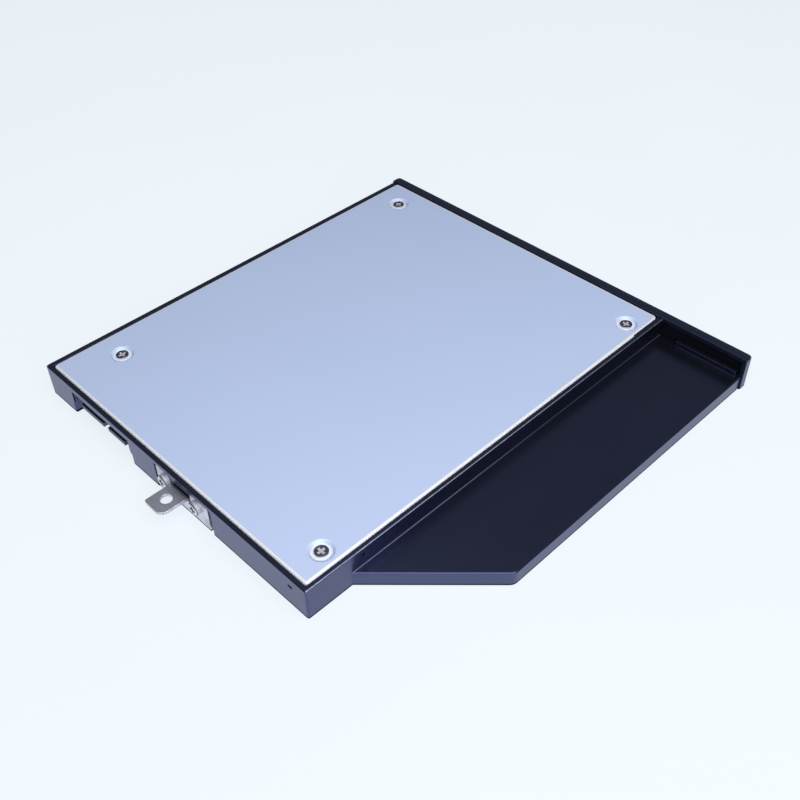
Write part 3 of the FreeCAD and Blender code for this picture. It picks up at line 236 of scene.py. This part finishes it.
def moulding(name, colour, worn, gloss, grain_depth, far_edges=None, lean_width=1.0,
             painted_highlight_wall=None, hollow=None):
    """Moulded plastic: fine grain, slow flow marks, dust, edges rubbed a little brighter, a
    near-black painted shade line where the walls meet the table, and near-black painted shade on
    the slanted edges under the rim. Three more are made where they are given. far_edges is the X
    and Y of the outer edges whose tops lean outwards over lean_width, with a lighter greenish
    painted reflection on the lean. painted_highlight_wall is the X of a wall with a painted
    highlight line along its top edge and a pale painted highlight line along its foot. hollow is
    the greatest X and Z and the least Y of an inside covered with near-black painted shade."""
    finish = Finish(name)
    x, y, z = (finish.axis(axis) for axis in "XYZ")
    rounded = finish.rounded(0.17)
    edge = finish.edge(rounded)
    grain = finish.noise(0.22, 3)
    flow = finish.noise(14, 2, (1, 2.4, 1))
    scuffs = finish.ramp(finish.noise(1.6, 4), 0.42, 0.7)
    dust = finish.ramp(finish.noise(0.5, 1), 0.74, 0.8)
    tone = finish.blend(flow, times(colour, 0.8), times(colour, 1.2))
    tone = finish.blend(edge * (0.35 + 0.65 * scuffs), tone, worn)
    tone = finish.blend(dust * 0.15, tone, worn)
    rough = gloss + 0.1 * (flow - 0.5) + 0.06 * (grain - 0.5)
    normal = finish.bump(grain, grain_depth, rounded)
    if far_edges:
        far_x, far_y = far_edges
        outside = (far_x - x).least(y - far_y)
        rolled = finish.slope(outside, lean_width) * finish.ramp(z, *RIM_FADE)
        # Painted reflection: a lighter greenish tone over the lean. The lean itself is the bump
        # below.
        tone = finish.blend(finish.ramp(rolled, 0.0, 0.1), tone, (0.008, 0.022, 0.027))
        normal = finish.bump(1 - rolled, LEAN * lean_width, normal)
    if painted_highlight_wall:
        # Painted highlight: a pale line along the wall's top edge, stronger towards the rear.
        line = finish.band(x, painted_highlight_wall, 0.24, 0.16) * finish.ramp(z, *RIM_LINE)
        highlight_strength = (0.3 + 0.7 * finish.ramp(y, -75, 35)) * (0.75 + 0.25 * scuffs)
        tone = finish.blend(line * highlight_strength, tone, (0.5, 0.53, 0.62))
        # Painted highlight: a pale line along the wall's foot, where it meets the wing's top.
        foot = (finish.band(x, painted_highlight_wall, 0.24, 0.14) * finish.band(z, WING_TOP, 0.24, 0.14)
                * finish.ramp(y, WING_REAR, WING_REAR - 0.1))
        tone = finish.blend(foot * (0.2 + 0.6 * finish.ramp(y, -20, 30)), tone, (0.16, 0.165, 0.2))
    upward = abs(finish.axis("Z", finish.facing))
    # Painted shade: a near-black diffuse over a line where the walls meet the table and over
    # slanted edges under the rim.
    painted_shade = finish.ramp(z, *TABLE_LINE) * finish.ramp(upward, *UPRIGHT)
    slanted = finish.ramp(upward, *SLANTED_FROM) * finish.ramp(upward, *SLANTED_TO)
    painted_shade = painted_shade.most(slanted * finish.ramp(z, *UNDER_RIM) * 0.5)
    if hollow:
        side, top, front = hollow
        # Painted shade: a near-black diffuse over the hollow inside.
        within = finish.ramp(abs(x), side + 0.1, side) * finish.ramp(z, top + 0.1, top)
        painted_shade = painted_shade.most(within * finish.ramp(y, front, front + 0.1) * 0.85)
    return finish.surface(tone, painted_shade, Roughness=rough, IOR=PLASTIC_IOR,
                          Specular_Tint=PLASTIC_TINT, Normal=normal)


def cover_sheet():
    """Satin aluminium sheet: rolling grain along the sheet, faint clouds, a few specks, a painted
    highlight along the rolled edge, and the flat rings of the dimples under the screws, smoother
    and with a painted highlight."""
    finish = Finish("cover_sheet")
    low, high = (corner * PER_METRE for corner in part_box("cover_plate"))
    x, y, z = (finish.axis(name) for name in "XYZ")
    inside = (x - low.x).least(high.x - x).least((y - low.y).least(high.y - y))
    rolled_down = finish.roll_off(inside, ROLLED_WIDTH)
    rim = finish.ramp(inside, ROLLED_WIDTH * 0.9, ROLLED_WIDTH * 0.5)
    rounded = finish.rounded(0.4)
    edge = finish.edge(rounded).most(rim)
    rolled = finish.noise(0.16, 2, (1, 60, 1))
    fine = finish.noise(0.12, 2)
    cloud = finish.noise(34, 3)
    specks = finish.ramp(finish.cells(2.6), 0.035, 0.02)
    pressed_ring_and_highlight = finish.band(z, DIMPLE_LEVEL, 0.12, 0.04)
    tone = finish.blend(cloud, (0.595, 0.70, 0.955), (0.625, 0.725, 0.975))
    tone = finish.blend(0.3 * rolled, tone, (0.54, 0.655, 0.915))
    # Painted highlight: the rolled edge band and rounded edges painted near white.
    tone = finish.blend(edge, tone, (0.97, 0.98, 1.0))
    # Painted highlight on the flat rings under the screws, which are also smoother.
    tone = finish.blend(pressed_ring_and_highlight, tone, (0.9, 0.93, 1.0))
    tone = finish.blend(specks * 0.35, tone, (0.42, 0.47, 0.6))
    rough = 0.52 + 0.08 * (rolled - 0.5) + 0.05 * (cloud - 0.5) - 0.16 * edge - 0.12 * pressed_ring_and_highlight
    grain = finish.bump(0.7 * rolled + 0.3 * fine, 0.004, rounded)
    return finish.surface(tone, Roughness=rough, Metallic=0.2, Specular_IOR_Level=0.3,
                          Normal=finish.bump(1 - rolled_down, ROLLED_DROP, grain))


def bright_steel(name, colour, gloss, brushed=(1, 1, 30), metallic=1.0, line=0.09, contrast=0.4,
                 foot=None):
    """Plated steel with brushed lines, a few darker, rougher spots, and a near-black painted shade
    line over its foot if the level of that is given."""
    finish = Finish(name)
    rounded = finish.rounded(0.12)
    edge = finish.edge(rounded)
    brush = finish.ramp(finish.noise(line, 2, brushed), 0.32, 0.68)
    spots = finish.ramp(finish.noise(0.9, 3), 0.5, 0.75)
    tone = finish.blend(spots * 0.5, colour, times(colour, 0.7))
    tone = finish.blend(contrast * brush, tone, times(colour, 0.6))
    tone = finish.blend(edge, tone, (0.86, 0.88, 0.92))
    rough = gloss + 0.1 * (brush - 0.5) + 0.14 * spots
    # Painted shade: a near-black line over the foot, where the steel meets the table.
    upright = finish.ramp(abs(finish.axis("Z", finish.facing)), *UPRIGHT)
    painted_shade = finish.ramp(finish.axis("Z"), foot + 0.5, foot + 0.35) * upright if foot else None
    return finish.surface(tone, painted_shade, Roughness=rough, Metallic=metallic,
                          Normal=finish.bump(brush, 0.006, rounded))


def screw_steel(name, along, head_level, centres, head=(0.36, 0.34, 0.4),
                painted_recess_tone=(0.64, 0.62, 0.7)):
    """Bright-plated screws with turned rings on their heads, a painted tone on the recess just
    under the head's face, and a plain shank below that. A pale recess tone is a painted highlight
    and a dark one is painted shade."""
    finish = Finish(name)
    rounded = finish.rounded(0.1)
    edge = finish.edge(rounded)
    level = finish.axis(along)
    recess = finish.ramp(level, head_level - 0.1, head_level - 0.2)
    shank = finish.ramp(level, head_level - 0.3, head_level - 0.4)
    rings = (distance_to(finish, along, centres) * (2 * math.pi / RING_PITCH)).sine() * 0.5 + 0.5
    mottle = finish.noise(0.4, 3)
    tone = finish.blend(mottle, times(head, 0.85), times(head, 1.15))
    # Painted light in the recess: a pale painted highlight by default, painted shade where a dark
    # tone is given.
    tone = finish.blend(recess * (1 - shank), tone, painted_recess_tone)
    tone = finish.blend(shank, tone, (0.62, 0.63, 0.67))
    tone = finish.blend(edge * 0.7, tone, (0.9, 0.92, 0.97))
    rough = 0.16 + 0.1 * mottle + 0.3 * recess
    return finish.surface(tone, Roughness=rough, Metallic=1 - 0.55 * recess,
                          Normal=finish.bump(rings, 0.004, rounded))


def distance_to(finish, along, centres):
    """The distance to the nearest of some centres, measured across an axis."""
    keep = (1, 1, 0) if along == "Z" else (1, 0, 1)
    flat = finish.vector("MULTIPLY", finish.place, keep)
    nearest = None
    for across, other in centres:
        centre = (across, other, 0) if along == "Z" else (across, 0, other)
        away = finish.vector("DISTANCE", flat, centre, output="Value")
        nearest = away if nearest is None else nearest.least(away)
    return nearest


def brass(name, along, centres):
    """Turned brass: a knurl of crossed fine lines outside, and a thread inside the bores."""
    finish = Finish(name)
    x, y, z = (finish.axis(axis) for axis in "XYZ")
    around, depth = (x - y, z) if along == "Z" else (x - z, y)
    knurl = ((KNURL_AROUND * around + KNURL_ALONG * depth).sine()
             * (KNURL_AROUND * around - KNURL_ALONG * depth).sine())
    thread = (depth * (2 * math.pi / THREAD_PITCH)).sine() * 0.5 + 0.5
    bore = finish.ramp(distance_to(finish, along, centres), *BORE)
    tarnish = finish.noise(1.1, 3)
    tone = finish.blend(tarnish, (0.72, 0.53, 0.24), (0.83, 0.66, 0.36))
    tone = finish.blend(bore * thread * 0.5, tone, (0.4, 0.27, 0.11))
    return finish.surface(tone, Roughness=0.28 + 0.14 * tarnish, Metallic=1.0,
                          Normal=finish.bump(bore * 3 * thread + (1 - bore) * knurl, 0.03))


def laminate():
    """Green solder mask over copper tracks, with the woven glass core bare on the cut edges."""
    finish = Finish("board_laminate")
    x, y, z = (finish.axis(name) for name in "XYZ")
    wander = finish.ramp(finish.noise(9, 1), 0.4, 0.6)
    lane = (x * TRACK_LANES + TRACK_WANDER * wander).sine()
    tracks = finish.ramp(lane, 0.25, 0.45) * finish.ramp(abs(finish.noise(6, 0) - 0.5), 0.012, 0.03)
    weave = (x * WEAVE).sine() * (y * WEAVE).sine()
    mask = finish.blend(tracks, (0.012, 0.11, 0.045), (0.03, 0.2, 0.07))
    mask = finish.blend(0.08 + 0.05 * weave, mask, (0.1, 0.3, 0.1))
    core = finish.blend((z * PLIES).sine() * 0.5 + 0.5, (0.42, 0.34, 0.16), (0.56, 0.47, 0.25))
    flat = finish.ramp(abs(finish.axis("Z", finish.facing)), *LEVEL)
    return finish.surface(finish.blend(flat, core, mask), Roughness=0.62 - 0.3 * flat,
                          Coat_Weight=0.4 * flat, Normal=finish.bump(tracks + 0.1 * weave, 0.02))


def contact_metal():
    """Gold flash over nickel, duller in streaks that run along Y."""
    finish = Finish("contact_metal")
    wiped = finish.noise(0.5, 3, (1, 5, 1))
    tone = finish.blend(wiped, (0.86, 0.62, 0.25), (0.93, 0.76, 0.42))
    return finish.surface(tone, Roughness=0.2 + 0.16 * wiped, Metallic=1.0,
                          Normal=finish.bump(wiped, 0.006, finish.rounded(0.05)))


def chip_body(name, low_colour, high_colour, gloss, node, end_share):
    """A small part under the board: a body between two tinned ends, with a soft mottle."""
    finish = Finish(name)
    low, high = (corner * PER_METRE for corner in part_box(node))
    y = finish.axis("Y")
    middle, half = (low.y + high.y) / 2, (high.y - low.y) / 2
    body_half = half * (1 - end_share)
    ends = finish.ramp(abs(y - middle), body_half - 0.02, body_half + 0.02)
    mottle = finish.noise(0.3, 3)
    body = finish.blend(mottle, low_colour, high_colour)
    tin = finish.blend(mottle, (0.6, 0.61, 0.63), (0.74, 0.75, 0.76))
    return finish.surface(finish.blend(ends, body, tin), Metallic=ends,
                          Roughness=gloss * (1 - ends) + 0.32 * ends + 0.08 * (mottle - 0.5),
                          Normal=finish.bump(mottle, 0.015, finish.rounded(0.08)))


def foam():
    """Dense dark foam: open cells and a soft, dusty face."""
    finish = Finish("pad_foam")
    cell = finish.cells(0.35)
    wide = finish.noise(4, 2)
    tone = finish.blend(finish.ramp(cell, 0.1, 0.5), (0.012, 0.012, 0.014), (0.06, 0.06, 0.066))
    tone = finish.blend(0.3 * wide, tone, (0.09, 0.09, 0.095))
    return finish.surface(tone, Roughness=0.95, Normal=finish.bump(cell, 0.12))


# The casing leans along its far side only and the bezel along its front only, each lean with a
# lighter greenish painted reflection.
casing = moulding("black_moulding", BLACK, RUBBED, 0.24, 0.006, (64.0, -90.0), 0.95, WALL_X)
bezel_grain = moulding("bezel_plastic", (0.005, 0.007, 0.01), RUBBED, 0.3, 0.012,
                       (90.0, -68.1), 1.45, hollow=(64.1, 9.5, -67.1))
connector_black = moulding("connector_plastic", (0.012, 0.013, 0.016), (0.05, 0.052, 0.06),
                           0.42, 0.004)
cover = cover_sheet()
bracket = bright_steel("bracket_steel", (0.68, 0.68, 0.79), 0.3, (20, 1, 9), 0.75, 0.26, 0.8, 0.3)
clip = bright_steel("clip_steel", (0.68, 0.69, 0.7), 0.34)

FINISHES = {
    "frame": casing,
    "cover_plate": cover,
    "front_bezel": bezel_grain,
    "rear_bracket": bracket,
    "cover_screws": screw_steel("cover_screw_steel", "Z", 9.45, COVER_SCREWS),
    "cover_inserts": brass("cover_insert_brass", "Z", COVER_SCREWS),
    # The bracket screws' dark recess tone is painted shade.
    "bracket_screws": screw_steel("bracket_screw_steel", "Y", 61.9, BRACKET_SCREWS,
                                  (0.68, 0.68, 0.74), (0.12, 0.12, 0.14)),
    "bracket_inserts": brass("bracket_insert_brass", "Y", BRACKET_SCREWS),
    "board_screws": screw_steel("board_screw_steel", "Z", 8.7, BOARD_SCREWS),
    "adapter_board": laminate(),
    "host_plug": connector_black,
    "host_plug_contacts": contact_metal(),
    "host_plug_clips": clip,
    "drive_socket": connector_black,
    "drive_socket_contacts": contact_metal(),
    "drive_socket_clips": clip,
    "bulk_capacitors": chip_body("capacitor_body", (0.5, 0.22, 0.05), (0.62, 0.3, 0.08), 0.45,
                                 "bulk_capacitors", 0.12),
    "small_capacitors": chip_body("ceramic_body", (0.4, 0.3, 0.2), (0.52, 0.41, 0.29), 0.4,
                                  "small_capacitors", 0.3),
    "small_resistors": chip_body("resistor_body", (0.015, 0.015, 0.018), (0.03, 0.03, 0.034), 0.3,
                                 "small_resistors", 0.25),
    "drive_stop": casing,
    "drive_pads": foam(),
}
for node, material in FINISHES.items():
    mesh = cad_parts[node].data
    mesh.materials.clear()
    mesh.materials.append(material)


# Solder under the board

BOARD_UNDERSIDE = 7.4
TAIL_INSET = 0.3
SOLDER_REACH = 0.36
SOLDER_SIDES = 12
# The outline of a joint: shares of its reach, and how far each lies below the board
SOLDER_PROFILE = [(0.0, 0.02), (0.6, 0.02), (1.0, 0.02), (0.96, 0.05), (0.62, 0.11), (0.4, 0.2),
                  (0.28, 0.3), (0.14, 0.34), (0.0, 0.35)]


def solder_tin():
    """Bright reflowed solder, a little grainy where it cooled."""
    finish = Finish("solder_tin")
    grain = finish.noise(0.12, 3)
    tone = finish.blend(grain, (0.58, 0.59, 0.61), (0.74, 0.75, 0.77))
    return finish.surface(tone, Roughness=0.22 + 0.2 * grain, Metallic=1.0,
                          Normal=finish.bump(grain, 0.01))


def tail_ends(node, side):
    """Where the legs of a node meet the board: for each loose piece, a spot just inside its top end
    on the +Y side, where side is 1, or on the -Y side, where it is -1."""
    bm = bmesh.new()
    bm.from_mesh(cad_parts[node].data)
    bmesh.ops.remove_doubles(bm, verts=bm.verts, dist=0.001 * MM)
    ends, left = [], set(bm.verts)
    while left:
        loose, waiting = [], [left.pop()]
        while waiting:
            vert = waiting.pop()
            loose.append(vert.co * PER_METRE)
            joined = {edge.other_vert(vert) for edge in vert.link_edges} & left
            left -= joined
            waiting.extend(joined)
        high = [spot for spot in loose if spot.z > BOARD_UNDERSIDE - 0.05]
        if high:
            y = (max if side > 0 else min)(spot.y for spot in high)
            across = [spot.x for spot in high]
            ends.append(((min(across) + max(across)) / 2, y - TAIL_INSET * side))
    bm.free()
    return sorted(ends)


def solder_joints(name, places):
    """A small concave cone of solder under the board at each place."""
    bm = bmesh.new()
    for x, y in places:
        rings = [(SOLDER_REACH * share, BOARD_UNDERSIDE - drop) for share, drop in SOLDER_PROFILE]
        line = [bm.verts.new((x + radius, y, z)) for radius, z in rings]
        edges = [bm.edges.new(pair) for pair in zip(line, line[1:])]
        bmesh.ops.spin(bm, geom=line + edges, cent=(x, y, 0), axis=(0, 0, 1), steps=SOLDER_SIDES,
                       angle=2 * math.pi, use_merge=True)
    bmesh.ops.remove_doubles(bm, verts=bm.verts, dist=0.002)
    bmesh.ops.recalc_face_normals(bm, faces=bm.faces)
    bmesh.ops.scale(bm, vec=(MM, MM, MM), verts=bm.verts)
    for face in bm.faces:
        face.smooth = True
    mesh = bpy.data.meshes.new(name)
    bm.to_mesh(mesh)
    bm.free()
    mesh.materials.append(solder)
    piece = bpy.data.objects.new(name, mesh)
    bpy.context.scene.collection.objects.link(piece)
    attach(piece, "root")


solder = solder_tin()
solder_joints("host_plug_solder", tail_ends("host_plug_contacts", -1))
solder_joints("drive_socket_solder", tail_ends("drive_socket_contacts", 1))


# Floor, light and camera

# The floor's reach is in metres, and so are the lamps' places and sizes and the camera's range.
FLOOR_REACH, FLOOR_DROP, FLOOR_GLOW = 6.0, 0.05, 0.84
LAMP_COLOUR = (0.97, 0.98, 1.0)


def floor():
    """A wide pale floor. It looks near white and keeps the caddy's soft shadow. From below the
    camera sees through it, so that the underside shows."""
    bm = bmesh.new()
    bmesh.ops.create_grid(bm, x_segments=1, y_segments=1, size=FLOOR_REACH)
    bmesh.ops.translate(bm, verts=bm.verts, vec=(0, 0, -FLOOR_DROP * MM))
    mesh = bpy.data.meshes.new("floor")
    bm.to_mesh(mesh)
    bm.free()
    made = bpy.data.objects.new("floor", mesh)
    bpy.context.scene.collection.objects.link(made)

    finish = Finish("floor_paper")
    pale = finish.blend(finish.noise(90, 2), (0.875, 0.935, 0.995), (0.9, 0.955, 1.0))
    paper = finish.node("ShaderNodeBsdfDiffuse", None, {"Color": pale}, "BSDF")
    glow = finish.node("ShaderNodeEmission", None, {"Color": pale, "Strength": 1.0}, "Emission")
    seen = [finish.node("ShaderNodeLightPath", output=name)
            for name in ("Is Camera Ray", "Is Glossy Ray", "Is Transmission Ray")]
    share = (seen[0] + seen[1] + seen[2]).least(1.0) * FLOOR_GLOW
    both = finish.node("ShaderNodeMixShader", None, {0: share, 1: paper, 2: glow})
    below = finish.node("ShaderNodeNewGeometry", output="Backfacing") * seen[0]
    clear = finish.node("ShaderNodeBsdfTransparent", output="BSDF")
    finish.node_out(finish.node("ShaderNodeMixShader", None, {0: below, 1: both, 2: clear}))
    mesh.materials.append(finish.material)


def soft_lamp(name, place, size, power, turned=0.0):
    """A square soft lamp that points at the middle of the caddy, turned about its own axis by some
    degrees."""
    light = bpy.data.lights.new(name, "AREA")
    light.shape, light.size, light.energy, light.color = "SQUARE", size, power, LAMP_COLOUR
    made = bpy.data.objects.new(name, light)
    made.location = place
    made.rotation_mode = "QUATERNION"
    made.rotation_quaternion = ((-Vector(place)).to_track_quat("-Z", "Y")
                                @ Matrix.Rotation(math.radians(turned), 3, "Z").to_quaternion())
    bpy.context.scene.collection.objects.link(made)


def sky(strength, colour, backdrop):
    """Soft light from all round. The camera sees a plain pale backdrop in its place."""
    world = bpy.data.worlds.new("studio_air")
    world.use_nodes = True
    nodes, links = world.node_tree.nodes, world.node_tree.links
    air, seen = nodes["Background"], nodes.new("ShaderNodeBackground")
    for background, tone, level in ((air, colour, strength), (seen, backdrop, 1.0)):
        background.inputs["Color"].default_value = (*tone, 1.0)
        background.inputs["Strength"].default_value = level
    path, choice = nodes.new("ShaderNodeLightPath"), nodes.new("ShaderNodeMixShader")
    links.new(path.outputs["Is Camera Ray"], choice.inputs[0])
    links.new(air.outputs[0], choice.inputs[1])
    links.new(seen.outputs[0], choice.inputs[2])
    links.new(choice.outputs[0], nodes["World Output"].inputs["Surface"])
    bpy.context.scene.world = world


floor()
soft_lamp("overhead", (-0.001, 0.001, 0.6), 0.45, 0.65, 45.0)
soft_lamp("near_side", (-0.27, 0.12, 0.33), 0.5, 2.4)
sky(0.14, (0.8, 0.88, 1.0), (0.84, 0.91, 0.96))

# The camera comes from the photo's straight edges. Angles are in degrees, the lens in its pixels.
AIM, AZIMUTH, ELEVATION, ROLL, AWAY = (-3.8, -0.8, 0.0), 226.47, 42.51, -1.554, 266.0
FOCAL_PIXELS, PHOTO_WIDTH, SENSOR = 1022.3, 800, 36.0
NEAREST, FARTHEST = 0.01, 20

turn, rise = math.radians(AZIMUTH), math.radians(ELEVATION)
ahead = Vector((-math.sin(turn) * math.cos(rise), math.cos(turn) * math.cos(rise), -math.sin(rise)))
camera = bpy.data.objects.new("camera", bpy.data.cameras.new("camera"))
camera.data.lens = SENSOR * FOCAL_PIXELS / PHOTO_WIDTH
camera.data.sensor_width = SENSOR
camera.data.clip_start, camera.data.clip_end = NEAREST, FARTHEST
camera.rotation_mode = "QUATERNION"
camera.rotation_quaternion = (ahead.to_track_quat("-Z", "Y")
                              @ Matrix.Rotation(math.radians(ROLL), 3, "Z").to_quaternion())
camera.location = (Vector(AIM) - ahead * AWAY) * MM
bpy.context.scene.collection.objects.link(camera)
bpy.context.scene.camera = camera
bpy.context.scene.view_settings.view_transform = "Standard"
